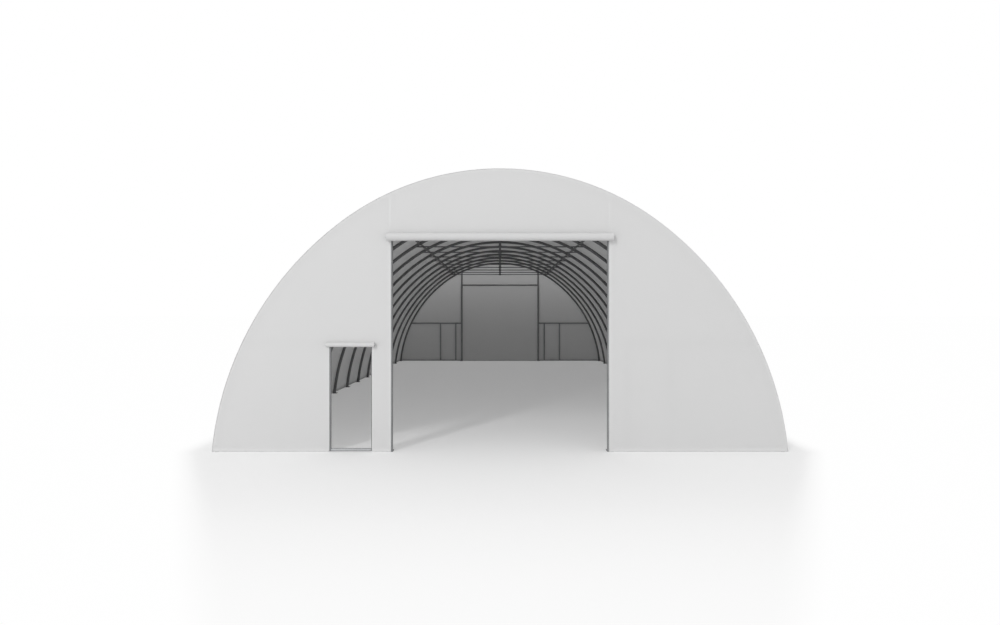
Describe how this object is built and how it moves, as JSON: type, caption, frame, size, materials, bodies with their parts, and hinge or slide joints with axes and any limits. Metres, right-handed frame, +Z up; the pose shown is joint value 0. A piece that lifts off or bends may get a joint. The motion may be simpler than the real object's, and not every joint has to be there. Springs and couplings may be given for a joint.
{
  "type": "fabric arch building",
  "caption": "Round-arched hall of steel tube arches under a white fabric cover, with a wide gate and a small side door whose curtains are rolled up.",
  "frame": {"origin": "middle of the hall on the ground, centred on its whole length with its rolled curtains", "axes": "+X to the right seen from the front, +Y from the front gate to the rear, +Z up"},
  "size_m": [9.15, 20.1726, 4.5],
  "materials": {
    "cover": "matt white coated fabric",
    "wall": "matt white coated fabric",
    "curtain": "matt white coated fabric",
    "tube": "galvanised"
  },
  "bodies": {
    "root": {"arch_01": "tube", "arch_02": "tube", "arch_03": "tube", "arch_04": "tube", "arch_05": "tube", "arch_06": "tube", "arch_07": "tube", "arch_08": "tube", "arch_09": "tube", "arch_10": "tube", "arch_11": "tube", "arch_12": "tube", "arch_13": "tube", "arch_14": "tube", "purlin_left": "tube", "purlin_right": "tube", "purlin_ridge": "tube", "front_gate_frame": "tube", "rear_gate_frame": "tube", "front_side_frame_left": "tube", "front_side_frame_right": "tube", "rear_side_frame_left": "tube", "rear_side_frame_right": "tube", "cover_01": "cover", "cover_02": "cover", "cover_03": "cover", "cover_04": "cover", "cover_05": "cover", "cover_06": "cover", "cover_07": "cover", "front_wall_left": "wall", "front_wall_over_door": "wall", "front_wall_between": "wall", "front_wall_over_gate": "wall", "front_wall_right": "wall", "rear_wall_left": "wall", "rear_wall_over_gate": "wall", "rear_wall_right": "wall", "front_gate_roll": "curtain", "front_door_roll": "curtain", "rear_gate_curtain": "curtain"}
  },
  "joints": []
}
